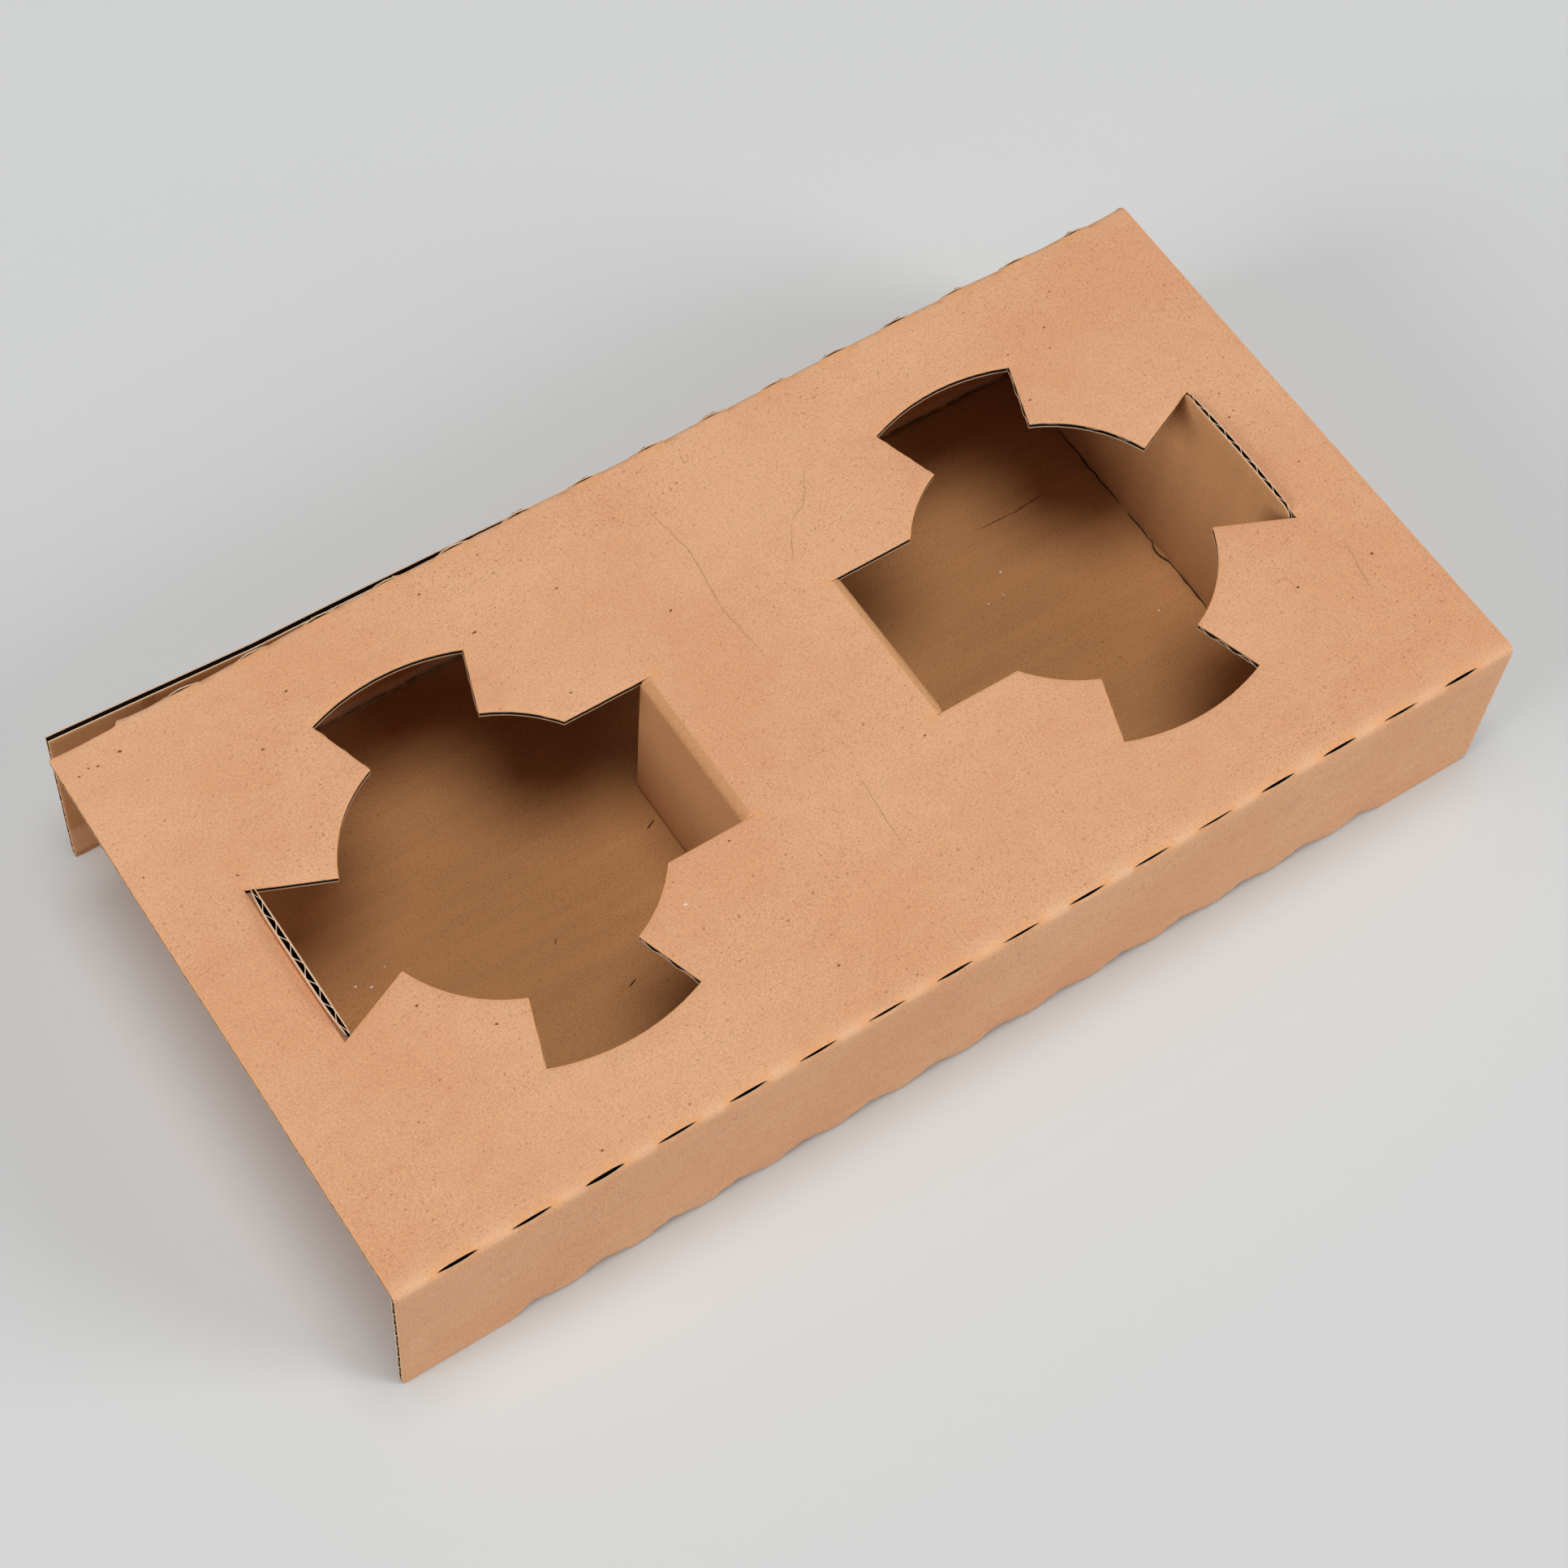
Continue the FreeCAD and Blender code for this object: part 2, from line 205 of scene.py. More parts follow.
# The first four lines follow the torn end crease at the right, its dark line drawn as painted
# shade; the others are gouges in the floor.
FLOOR_GOUGES_AND_CREASE_SHADE = (
    (((100.6, 44.5), (100.8, 39.9), (100.7, 34.5), (100.6, 21.8)), 0.44),
    (((100.8, 20.0), (100.8, 14.8), (100.5, 10.4)), 0.40),
    (((100.9, 11.4), (100.2, 10.2), (99.8, 8.0), (100.3, 6.2), (100.8, 4.9), (100.8, 2.4)), 0.55),
    (((100.8, 3.0), (100.8, -2.5), (100.6, -9.2)), 0.55),
    (((71.1, 32.6), (80.0, 32.2), (89.4, 33.0)), 0.22),
    (((-24.0, 9.4), (-26.6, 8.6)), 0.34), (((-46.0, -18.2), (-48.2, -19.0)), 0.30),
    (((-54.4, -2.6), (-55.6, -3.6)), 0.28))


# The stage, in metres
TABLE_REACH = 1.4  # half the floor's side
LAMPS = {"overhead": (0.0, 0.0, 4.5), "front_fill": (2.94, -2.94, 1.68),
         "left_fill": (-4.17, 0.0, 1.68)}
LAMP_WIDTH = 2.4
CAMERA_PLACE = (-0.2127, -0.2605, 0.5851)
CAMERA_TURNS = (-39.232, 59.771, 6.435)  # azimuth, elevation and roll in degrees
CAMERA_LENS = 77.583  # millimetres


# Folding


def in_mm(settings):
    """The numbers of a settings group, lengths in millimetres and angles in radians."""
    values = {}
    for key, prop in settings.bl_rna.properties.items():
        if prop.type in {"FLOAT", "INT"} and not getattr(prop, "is_array", False):
            value = getattr(settings, key)
            values[key] = value / MM if prop.subtype == "DISTANCE" else value
    return values


def ramp(value, start, stop):
    """Rises smoothly from 0 at start to 1 at stop."""
    t = np.clip((value - start) / (stop - start), 0.0, 1.0)
    return t * t * (3.0 - 2.0 * t)


def wander(x, y, reach, seed):
    """Soft noise in -1..1 that changes over about reach millimetres."""
    return np.array([noise.noise(Vector((a / reach, b / reach, seed))) for a, b in zip(x, y)])


class Blank:
    """The die-cut blank and its folding."""

    def __init__(self, board, cuts):
        for key, value in (in_mm(board) | in_mm(cuts)).items():
            setattr(self, key, value)
        self.inner_top = self.height - self.board
        self.inner_front = self.front + self.board
        self.wall_inside = self.back - self.board
        self.flap_inside = self.wall_inside - self.glue_gap - self.board
        self.glue_end = self.board + self.flap_clear
        self.floor_end = self.crease_offset - 0.5
        self.hinge = self.seat_offset - self.hinge_offset - self.board
        runs = [
            (self.flap_inside, self.glue_end, 0),
            (self.flap_inside, self.inner_top, 0),
            (self.flap_inside, self.inner_top, 90),
            (self.inner_front, self.inner_top, 90),
            (self.inner_front, self.inner_top, 180),
            (self.inner_front, self.board, 180),
            (self.inner_front, self.board, 270),
            (self.wall_inside, self.board, 270),
            (self.wall_inside, self.board, 360),
            (self.wall_inside, self.height - self.wall_drop, 360),
        ]
        self.y, self.z, self.turn = (np.array(column, float) for column in zip(*runs))
        reach = np.hypot(np.diff(self.y), np.diff(self.z))
        self.s = np.concatenate([[0.0], np.cumsum(np.where(reach > 0, reach, self.fold_run))])
        (self.s_flap, self.s_back_fold, self.s_top, self.s_front_fold, self.s_front,
         self.s_low_fold, self.s_floor, self.s_high_fold, self.s_wall, self.s_raw) = self.s
        self.folds = [(self.s_back_fold, self.s_top), (self.s_front_fold, self.s_front),
                      (self.s_low_fold, self.s_floor), (self.s_high_fold, self.s_wall)]

    def top_s(self, y):
        return self.s_top + self.flap_inside - y

    def floor_s(self, y):
        return self.s_floor + y - self.inner_front

    def lobe_mask(self, x, s):
        """Flat points of the two folded inner lobes."""
        y = self.flap_inside - (s - self.s_top) - self.seat_y
        return ((np.abs(y) < (self.flap_half + self.hinge_half) / 2) & (np.abs(x) > self.hinge)
                & (np.abs(x) < self.hinge + self.fold_run + self.inner_top)
                & (s > self.s_top) & (s < self.s_front_fold))

    def place(self, x, s, depth):
        """Folded places of flat points, as an N by 3 array."""
        out = self.board - depth
        y = np.interp(s, self.s, self.y)
        z = np.interp(s, self.s, self.z)
        turn = np.radians(np.interp(s, self.s, self.turn))
        ny, nz = np.cos(turn), np.sin(turn)
        points = np.stack([x, y + ny * out, z + nz * out], 1)
        self._open_ends(points, x, s, out)
        self._bulge_folds(points, x, s, ny, nz)
        self._fold_end_walls(points, x, s, y, out)
        self._fold_inner_lobes(points, x, s, y, out)
        self._settle(points, x, s)
        return points

    def _open_ends(self, points, x, s, out):
        """Past the floor's ends the walls run straight down to raw edges."""
        free = ramp(np.abs(x), self.floor_end, self.floor_end + 1.5)
        for low, high, y, side in ((self.s_low_fold, self.s_floor, self.inner_front, -1),
                                   (self.s_high_fold, self.s_wall, self.wall_inside, 1)):
            before, after = (0.0, 0.3) if side < 0 else (0.3, 0.0)
            pick = (s >= low - before) & (s <= high + after) & (free > 0)
            t = np.clip((s[pick] - low) / (high - low), 0, 1)
            z = self.board * (1 - t if side < 0 else t)
            straight = np.stack([x[pick], y + side * out[pick], z], 1)
            w = free[pick][:, None]
            points[pick] = points[pick] * (1 - w) + straight * w

    def _bulge_folds(self, points, x, s, ny, nz):
        """Between the slots a fold is drawn in, and at each slot its lips stand out."""
        phase = np.cos(2 * np.pi * (x / self.slot_pitch - 0.5))
        for index, (low, high) in enumerate(self.folds):
            middle = (low + high) / 2
            near = np.exp(-((s - middle) / 1.6) ** 2)
            if index < 2:
                lift = (0.17 * phase - 0.10 + 0.06 * wander(x, s, 9.0, 3.1 + index)) * near
            else:
                between = np.abs((x / self.slot_pitch) % 1.0 - 0.5) * 2
                dent = -0.85 * (1 - between) ** 1.5
                wide = np.where((s < middle) == (index == 2), 4.0, 1.6)
                near = np.exp(-((s - middle) / wide) ** 2)
                lift = (dent + 0.08 * wander(x, s, 14.0, 3.1 + index)) * near
                lift = lift * (1 - ramp(np.abs(x), self.floor_end - 2, self.floor_end))
                lift = np.minimum(lift, 0.0)
            if index == 0:
                lip = np.exp(-((s - middle + 0.45) / 0.45) ** 2)
                lift = lift + 0.4 * lip * np.clip(phase, 0.0, 1.0)
            points[:, 1] += ny * lift
            points[:, 2] += nz * lift

    def _fold_end_walls(self, points, x, s, y, out):
        """Floor past its end creases stands up and leans outwards."""
        bend = math.pi / 2 - self.end_lean
        rise = np.abs(x) - self.crease_offset
        gap = self.side_clear / 2
        pick = (rise > 0) & (s > self.s_floor + gap) & (s < self.s_high_fold - gap)
        turn = np.interp(rise[pick], [0, self.fold_run], [0, bend])
        up = np.maximum(rise[pick] - self.fold_run, 0)
        side = np.sign(x[pick])
        corner = np.clip(np.abs(y[pick] - self.seat_y) / self.tab_half, 0, 1) ** 4
        pressed = np.where(side > 0, np.interp(corner, (0, 1), RIGHT_TAB_CRUSHED),
                           np.interp(corner, (0, 1), LEFT_TAB_CRUSHED)) * ramp(up, 30, 38)
        reach = out[pick] * (1 - pressed)
        reach += np.where(side > 0, self.board * pressed, 0)
        across = self.crease_offset + up * math.sin(self.end_lean) + reach * np.sin(turn)
        height = self.board + up * math.cos(self.end_lean) - reach * np.cos(turn)
        points[pick] = np.stack([side * across, y[pick], height], 1)

    def _fold_inner_lobes(self, points, x, s, y, out):
        """Inner lobes hang from their hinges down to the floor."""
        pick = self.lobe_mask(x, s)
        run = np.abs(x[pick]) - self.hinge
        turn = np.interp(run, [0, self.fold_run], [0, math.pi / 2])
        down = np.maximum(run - self.fold_run, 0)
        across = self.hinge + out[pick] * np.sin(turn)
        height = self.inner_top - down + out[pick] * np.cos(turn)
        points[pick] = np.stack([np.sign(x[pick]) * across, y[pick], height], 1)

    def _settle(self, points, x, s):
        """Slow unevenness of used board. The floor stays on the table."""
        free = ramp(points[:, 2], 3.0, 16.0)
        points[:, 0] += 0.20 * free * wander(points[:, 1], points[:, 2], 45.0, 7.3)
        points[:, 1] += 0.30 * free * wander(x, points[:, 2], 55.0, 11.9)
        points[:, 2] += 0.22 * free * wander(x, points[:, 1], 60.0, 1.7)
        raw_edge = self.height - self.wall_drop
        stand = np.interp(x, *WALL_STANDS_OFF) * points[:, 2] / raw_edge
        points[:, 1] += np.where(s > self.s_wall, stand, 0.0)
        over = ramp(points[:, 1], 50.0, self.flap_inside) * ramp(points[:, 2], 35.5, 39.5)
        points[:, 1] += np.where(s < self.s_front_fold, np.interp(x, *FOLD_BULGES) * over, 0.0)


# Flat outlines


def arc_points(centre, radius, start, stop, step=0.7):
    """Points of an arc, no closer together than step."""
    count = max(2, int(abs(stop - start) * radius / step) + 1)
    turns = np.linspace(start, stop, count)
    return [(centre[0] + radius * math.cos(t), centre[1] + radius * math.sin(t)) for t in turns]


def seat_outline(blank, recede):
    """Hole round one seat and its folded lobe in (x, y) from the seat's centre, +x inwards.

    recede widens the hole and narrows the lobe across the flutes.
    """
    b = blank
    hinge_turn = math.asin(b.hinge_half / b.tooth_radius)
    quarter = math.pi / 2
    slit = b.hinge_offset + b.board + 0.9
    upper = [(slit, b.hinge_half - 0.05)]
    upper += arc_points((0, 0), b.tooth_radius, hinge_turn, quarter - b.tooth_angle)
    upper += arc_points((0, 0), b.lobe_radius, quarter - b.lobe_angle, quarter + b.lobe_angle)
    upper += arc_points((0, 0), b.tooth_radius, quarter + b.tooth_angle, math.pi - b.mouth_angle)
    upper += [(-b.mouth_offset, b.mouth_half)]
    upper = [(x, y + recede) for x, y in upper]
    lower = [(x, -y) for x, y in reversed(upper)]
    root = b.hinge_offset + b.board
    free = root - b.fold_run - (b.inner_top - b.board - b.lobe_clear)
    half = b.flap_half - recede
    lobe = [(root, -half), (free, -half), (free, half), (root, half)]
    return upper + lower + lobe


def slot_outlines(blank, cleared):
    """Lens-shaped slots along the folds. Round them the medium is cleared out of the fold."""
    outlines = []
    half_length = blank.length / 2
    for index, (low, high) in enumerate(blank.folds):
        middle = (low + high) / 2
        limit = blank.floor_end if index >= 2 else half_length
        start = blank.notch_length - half_length if index == 0 else -limit
        for number in range(blank.slot_count):
            x = (number - (blank.slot_count - 1) / 2) * blank.slot_pitch
            half = blank.slot_length / 2
            if x - half < start or x + half > limit:
                continue
            slack = noise.noise(Vector((x * 0.37, index * 5.1, 0.4)))
            wide = blank.slot_opening / 2 * (1.0 + 0.5 * slack)
            if cleared:
                wide, half = (high - low) * 0.75, half + 0.6
            turns = np.linspace(0, 2 * math.pi, 16, endpoint=False)
            outlines.append([(x + half * math.cos(t), middle + wide * math.sin(t))
                             for t in turns])
    return outlines


def blank_outline(blank):
    """The blank's outer edge: its right half from the glue flap on, then back round the left."""
    b = blank
    half = b.length / 2
    notch_x = b.notch_length - half
    notch_s = b.s_top - 0.1
    walls = b.crease_offset + b.fold_run
    quarter = math.pi / 2
    middle = b.floor_s(b.seat_y)
    low_side, high_side = b.s_floor + b.side_clear, b.s_high_fold - b.side_clear
    shoulder, top = walls + b.shoulder, walls + b.tab_top
    tab = [(-b.tab_half, shoulder)]
    tab += [(t, x) for x, t in arc_points((top - b.tab_radius, b.tab_radius - b.tab_half),
                                          b.tab_radius, -quarter, 0)]
    tab += [(t, x) for x, t in arc_points((top - b.tab_back_radius, b.tab_half - b.tab_back_radius),
                                          b.tab_back_radius, 0, quarter)]
    tab.append((b.tab_half, shoulder))
    end_wall = [(b.floor_end, b.s_floor), (b.floor_end, low_side), (shoulder, low_side)]
    end_wall += [(x + b.tab_arch * (1 - (t / b.tab_half) ** 2), middle + t)
                 for t, x in densify(tab, 1.0) if x > shoulder + 0.01]
    end_wall += [(shoulder, high_side), (b.floor_end, high_side), (b.floor_end, b.s_high_fold)]
    c = b.corner_radius
    right = [(notch_x, 0), (half, 0)]
    right += arc_points((half - c, b.s_floor - c), c, 0, quarter)
    right += end_wall
    right += arc_points((half - c, b.s_high_fold + c), c, -quarter, 0)
    left = [(half, b.s_raw), (b.wall_short - half, b.s_raw), (1.0 - half, b.s_high_fold)]
    left += [(-x, s) for x, s in reversed(end_wall)]
    left += [(-half, b.s_floor), (-half, notch_s)]
    left += arc_points((notch_x - 1.5, notch_s - 1.5), 1.5, quarter, 0)
    return right + left


def densify(outline, step):
    """The closed outline with points put in between, no closer together than step."""
    points = []
    for a, b in zip(outline, outline[1:] + outline[:1]):
        count = max(1, int(math.dist(a, b) / step))
        for k in range(count):
            points.append((a[0] + (b[0] - a[0]) * k / count, a[1] + (b[1] - a[1]) * k / count))
    return points


def roughen(points):
    """Small unevenness of a die-cut edge."""
    moved = []
    for x, s in points:
        dx, ds = (CUT_STRAY * noise.noise(Vector((x * 0.9, s * 0.9, seed))) for seed in (4.0, 24.0))
        moved.append((x + dx, s + ds))
    return moved


def inside(px, py, outline):
    """Which points lie inside a closed outline."""
    result = np.zeros(len(px), bool)
    corners = np.array(outline)
    low, high = corners.min(0), corners.max(0)
    near = np.nonzero((px > low[0]) & (px < high[0]) & (py > low[1]) & (py < high[1]))[0]
    x, y = px[near], py[near]
    odd = np.zeros(len(near), bool)
    for (x0, y0), (x1, y1) in zip(corners, np.roll(corners, -1, 0)):
        if y0 == y1:
            continue
        spans = (y0 > y) != (y1 > y)
        odd ^= spans & (x < x0 + (y - y0) * (x1 - x0) / (y1 - y0))
    result[near] = odd
    return result


def flat_mesh(blank, rows, columns, edge_step, cleared_slots, recede=0.0):
    """Triangles over the flat blank. Each point has its nearness to a cut or a slot, and how far it
    lies behind the board's raw edges, which sets the painted shade there."""
    b = blank
    seats = []
    for side in (-1, 1):
        seats.append([(side * (b.seat_offset - x), b.top_s(b.seat_y + y))
                      for x, y in seat_outline(b, recede)])
    borders = [roughen(densify(o, edge_step)) for o in [blank_outline(b)] + seats]
    borders += slot_outlines(b, cleared_slots)

    tree = KDTree(sum(len(o) for o in borders))
    verts, edges = [], []
    for outline in borders:
        start = len(verts)
        verts += outline
        edges += [(start + k, start + (k + 1) % len(outline)) for k in range(len(outline))]
    for index, (x, s) in enumerate(verts):
        tree.insert((x, s, 0), index)
    tree.balance()

    inset = []
    for outline in borders[:3]:
        for a, c in zip(outline, outline[1:] + outline[:1]):
            mid = Vector(((a[0] + c[0]) / 2, (a[1] + c[1]) / 2))
            side = Vector((c[1] - a[1], a[0] - c[0])).normalized() * 0.5
            inset += [tuple(mid + side), tuple(mid - side)]
    for s in rows:
        inset += [(x, s) for x in columns]
    for x, s in inset:
        if tree.find((x, s, 0))[2] > 0.3:
            verts.append((x, s))

    made = delaunay_2d_cdt([Vector(v) for v in verts], edges, [], 0, 1e-6)
    flat = np.array([tuple(v) for v in made[0]])
    faces = np.array(made[2])
    middle = flat[faces].mean(1)
    keep = inside(middle[:, 0], middle[:, 1], borders[0])
    for hole in borders[1:]:
        keep &= ~inside(middle[:, 0], middle[:, 1], hole)
    faces = faces[keep]
    used, faces = np.unique(faces, return_inverse=True)
    flat, faces = flat[used], faces.reshape(-1, 3)
    area = np.cross(flat[faces[:, 1]] - flat[faces[:, 0]], flat[faces[:, 2]] - flat[faces[:, 0]])
    faces = np.where(area[:, None] > 0, faces[:, ::-1], faces)
    rims = sum(len(o) for o in borders[:3])
    near = np.array([max(0.0, 1.0 - tree.find((x, s, 0))[2] / EDGE_WIDTH) for x, s in flat])
    rim = [tree.find((x, s, 0), filter=lambda index: index < rims)[2] for x, s in flat]
    deep = np.minimum(3.0, np.array(rim) / DARK_FROM)
    return flat, faces, near, deep


def fold_rows(blank, spacing):
    """Places round the sleeve for rows of points, close together in the folds."""
    rows = []
    for low, high in blank.folds:
        rows += list(np.linspace(low, high, 8)) + [low - 0.5, high + 0.5, low - 1.4, high + 1.4]
    for a, c in zip(blank.s, blank.s[1:]):
        count = max(1, int((c - a) / spacing))
        rows += list(np.linspace(a, c, count + 1)[1:-1])
    return sorted(rows)


def fold_columns(blank, spacing):
    """Places along the carrier for columns of points, close together at creases and hinges."""
    walls = blank.crease_offset + blank.fold_run + blank.tab_top
    columns = list(np.arange(0.0, walls + spacing, spacing))
    for start in (blank.crease_offset, blank.hinge):
        columns += list(np.linspace(start, start + blank.fold_run, 8))
        columns += [start - 0.5, start + blank.fold_run + 0.5]
    return sorted([-x for x in columns if x > 0] + columns)


# Meshes


def make_object(name, points, faces, uv, materials, material_index, marks, sharp=None):
    mesh = bpy.data.meshes.new(name)
    mesh.from_pydata((points * MM).tolist(), [], faces)
    loops = np.zeros(len(mesh.loops), np.int32)
    mesh.loops.foreach_get("vertex_index", loops)
    layer = mesh.uv_layers.new(name="blank")
    layer.data.foreach_set("uv", (uv[loops] * MM).astype(np.float32).ravel())
    for label, values in marks.items():
        attribute = mesh.attributes.new(label, "FLOAT", "POINT")
        attribute.data.foreach_set("value", values.astype(np.float32))
    for material in materials:
        mesh.materials.append(material)
    mesh.polygons.foreach_set("material_index", np.asarray(material_index, np.int32))
    mesh.polygons.foreach_set("use_smooth", np.ones(len(mesh.polygons), bool))
    if sharp is not None:
        corners = np.zeros(2 * len(mesh.edges), np.int32)
        mesh.edges.foreach_get("vertices", corners)
        pairs = corners.reshape(-1, 2)
        mesh.edges.foreach_set("use_edge_sharp", sharp[pairs].all(1))
    mesh.update()
    piece = bpy.data.objects.new(name, mesh)
    bpy.context.scene.collection.objects.link(piece)
    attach(piece, "root")
    return piece


def make_sheet(name, blank, sheet, outer, inner, buried, materials):
    """A folded sheet between two depths, closed by its raw cut edges.

    buried says, for its outer and its inner side, whether the side lies inside the board.
    """
    flat, faces, near, deep = sheet
    x, s = flat[:, 0], flat[:, 1]
    press = EDGE_PRESS * near * near
    shell = []
    for depth in (outer, inner):
        towards = np.where(depth < blank.board / 2, 1, -1)
        shell.append(blank.place(x, s, depth + press * towards))
    count = len(flat)
    outside = outer[0] == 0
    # Painted shade on the right seat's lobe where it turns down at its hinge.
    painted_hinge_shade = 0.4 * blank.lobe_mask(x, s) * ramp(x - blank.hinge, 0.4, 1.8) * outside
    directed = np.concatenate([faces[:, [0, 1]], faces[:, [1, 2]], faces[:, [2, 0]]])
    key = directed[:, 0].astype(np.int64) * count + directed[:, 1]
    twin = directed[:, 1].astype(np.int64) * count + directed[:, 0]
    rim = directed[~np.isin(key, twin)]
    all_faces = faces.tolist() + (faces[:, ::-1] + count).tolist()
    all_faces += [[a, a + count, c + count, c] for a, c in rim.tolist()]
    index = np.zeros(len(all_faces), np.int32)
    index[2 * len(faces):] = 1
    sharp = np.zeros(2 * count, bool)
    sharp[np.unique(rim)] = True
    sharp[np.unique(rim) + count] = True
    uv = np.concatenate([flat, flat + (0.0, 500.0)])
    wear = fold_wear_and_hinge_highlight(blank, x, s)
    # Painted shade on the hanging lobes' outside.
    shaded = 0.75 * blank.lobe_mask(x, s)
    painted_wall_light, painted_crease_shade = inside_painted_light_and_shade(blank, x, s)
    # Painted light and hinge highlight join the fold scuffing; painted shade lies on the lobes, far
    # in the board, at the right lobe's hinge and in the creases.
    marks = {"wear": np.concatenate([wear, painted_wall_light]),
             "cut_edge": np.concatenate([near, near]),
             "shaded": np.concatenate([shaded, np.ones(count)]),
             "deep": np.concatenate([np.maximum(deep * buried[0], painted_hinge_shade),
                                     np.maximum(deep * buried[1], painted_crease_shade)])}
    return make_object(name, np.concatenate(shell), all_faces, uv, materials, index, marks,
                       sharp)


def fold_wear_and_hinge_highlight(blank, x, s):
    """How scuffed the outer liner is, most between the upper folds' slots; painted highlight on the
    hinges.
    """
    wear = np.zeros(len(x))
    between = 0.5 + 0.5 * np.cos(2 * np.pi * x / blank.slot_pitch)
    for index, (low, high) in enumerate(blank.folds):
        strength = (0.8, 1.0, 0.5, 0.5)[index]
        near = np.exp(-((s - (low + high) / 2) / 1.9) ** 2)
        uneven = 0.75 + 0.5 * wander(x, s, 9.0, 2.2 + index)
        wear = np.maximum(wear, strength * near * (0.35 + 0.65 * between) * uneven)
    # Painted highlight along the lobes' hinges.
    lobe = blank.lobe_mask(x, s)
    hinge = blank.hinge + blank.fold_run / 2
    wear[lobe] = np.maximum(wear[lobe], 0.08 * np.exp(-((np.abs(x[lobe]) - hinge) / 1.2) ** 2))
    return np.clip(wear, 0, 1)


def inside_painted_light_and_shade(blank, x, s):
    """On the inner liner: painted light up the end walls and low on the back wall, painted shade in
    the creases.
    """
    # Painted light: end walls and the foot of the back wall lightened towards the pale fold tone.
    wall = np.clip(np.abs(x) - blank.crease_offset - blank.fold_run, 0, 1) * 0.16
    wall = np.maximum(wall, 0.9 * ramp(s, blank.s_wall - 0.6, blank.s_wall)
                      * (1 - ramp(s, blank.s_wall + 5, blank.s_wall + 9)))
    # Painted shade beside the low folds and along the floor's end creases.
    crease = np.zeros(len(x))
    for low, high in blank.folds[2:]:
        beside = np.maximum(np.maximum(low - s, s - high), 0)
        crease = np.maximum(crease, 0.9 * np.exp(-(beside / 0.55) ** 2))
    crease *= np.abs(x) < blank.floor_end
    beside = np.maximum(np.abs(np.abs(x) - blank.crease_offset - 1.0) - 1.0, 0)
    uneven = np.clip(0.5 + wander(x * 0, s, 6.0, 8.8), 0, 1)
    return wall, np.maximum(crease, 0.45 * uneven * np.exp(-(beside / 0.45) ** 2))


# Materials


class Nodes:
    """Short calls for building a material's nodes."""

    def __init__(self, name):
        self.material = bpy.data.materials.new(name)
        self.material.use_nodes = True
        self.tree = self.material.node_tree
        self.shader = self.tree.nodes["Principled BSDF"]

    def add(self, kind, inputs=None, **settings):
        node = self.tree.nodes.new(kind)
        for key, value in settings.items():
            setattr(node, key, value)
        for key, value in (inputs or {}).items():
            if isinstance(value, bpy.types.NodeSocket):
                self.tree.links.new(value, node.inputs[key])
            else:
                node.inputs[key].default_value = value
        return node

    def flat(self, scale, shift=(0, 0, 0)):
        """Place on the flat blank, in units of 1 / scale millimetres."""
        uv = self.add("ShaderNodeUVMap", uv_map="blank")
        return self.add("ShaderNodeMapping", {"Vector": uv.outputs[0], "Location": shift,
                                              "Scale": [v / MM for v in scale]}).outputs[0]

    def noise(self, scale, detail=2.0, shift=(0, 0, 0)):
        node = self.add("ShaderNodeTexNoise", {"Vector": self.flat(scale, shift), "Scale": 1.0,
                                               "Detail": detail}, noise_dimensions="2D")
        return node.outputs["Fac"]

    def math(self, operation, a, b):
        return self.add("ShaderNodeMath", {0: a, 1: b}, operation=operation).outputs[0]

    def vector(self, operation, a, b):
        return self.add("ShaderNodeVectorMath", {0: a, 1: b}, operation=operation).outputs[0]

    def scaled(self, colour_socket, share):
        return self.add("ShaderNodeVectorMath", {0: colour_socket, "Scale": share},
                        operation="SCALE").outputs[0]

    def span(self, value, low, high, start=0.0, stop=1.0):
        node = self.add("ShaderNodeMapRange", {"Value": value, "From Min": low, "From Max": high,
                                               "To Min": start, "To Max": stop}, clamp=True)
        return node.outputs[0]

    def blend(self, amount, a, b):
        a, b = (end if isinstance(end, bpy.types.NodeSocket) else (*end, 1.0) for end in (a, b))
        return self.add("ShaderNodeMix", {0: amount, 6: a, 7: b}, data_type="RGBA").outputs[2]

    def dimmed(self, colour_socket):
        """The colour under painted shade: nearly black far in the board's flutes and folds, darker
        in the creases and at a hinge.
        """
        light = self.span(self.attribute("deep"), 0.0, 1.0, 1.0, DARK_SHADE)
        return self.scaled(colour_socket, light)

    def attribute(self, name):
        return self.add("ShaderNodeAttribute", attribute_name=name).outputs["Fac"]

    def finish(self, colour_socket, height_socket, distance, roughness):
        links = self.tree.links
        links.new(colour_socket, self.shader.inputs["Base Color"])
        bump = self.add("ShaderNodeBump", {"Height": height_socket, "Strength": 0.6,
                                           "Distance": distance * MM})
        links.new(bump.outputs[0], self.shader.inputs["Normal"])
        self.shader.inputs["Roughness"].default_value = roughness
        self.shader.inputs["Specular IOR Level"].default_value = 0.28
        return self.material


